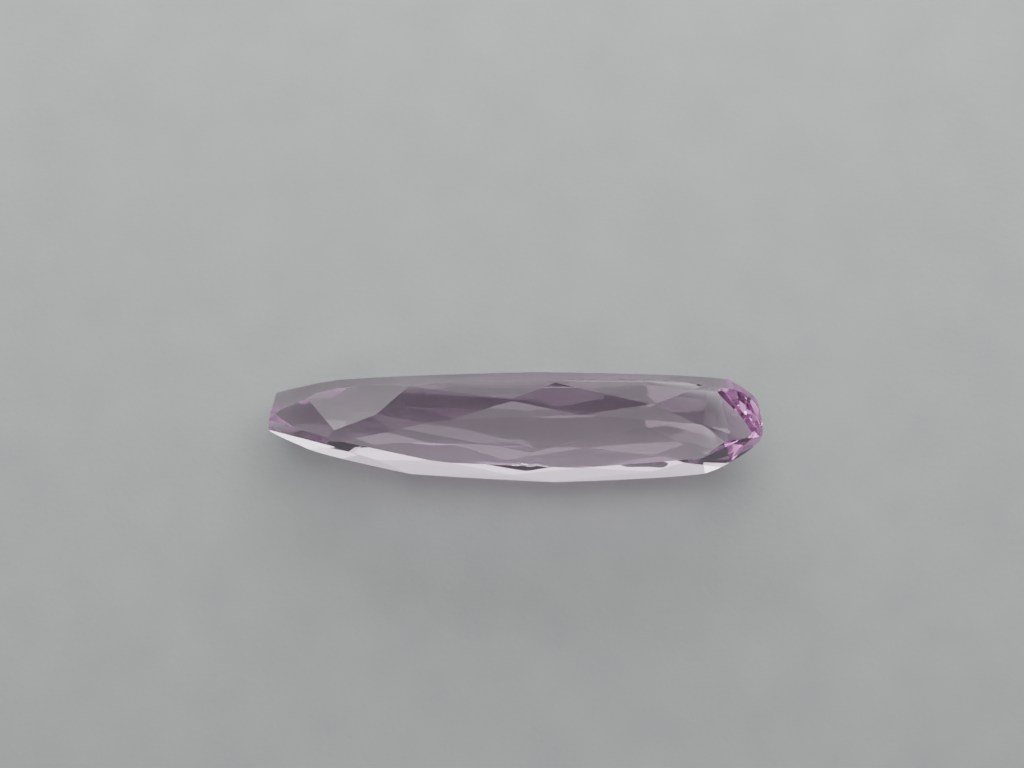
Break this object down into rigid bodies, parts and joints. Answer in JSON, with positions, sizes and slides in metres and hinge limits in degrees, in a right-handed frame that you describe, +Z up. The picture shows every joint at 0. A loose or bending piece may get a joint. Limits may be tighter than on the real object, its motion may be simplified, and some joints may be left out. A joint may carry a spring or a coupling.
{
  "type": "faceted kunzite gemstone",
  "caption": "Long, slender pear-cut clear lilac-pink gemstone with a flat table, lying tilted on a facet of its pavilion.",
  "frame": {"origin": "centre of the stone's footprint, on the surface that it lies on", "axes": "+X along the stone from its narrow tip to its round end, +Z up as the stone lies, the table leaning towards -Y"},
  "size_m": [0.0298, 0.0062, 0.0061],
  "materials": {
    "kunzite": "polished clear stone"
  },
  "bodies": {
    "root": {"kunzite": "kunzite"}
  },
  "joints": []
}
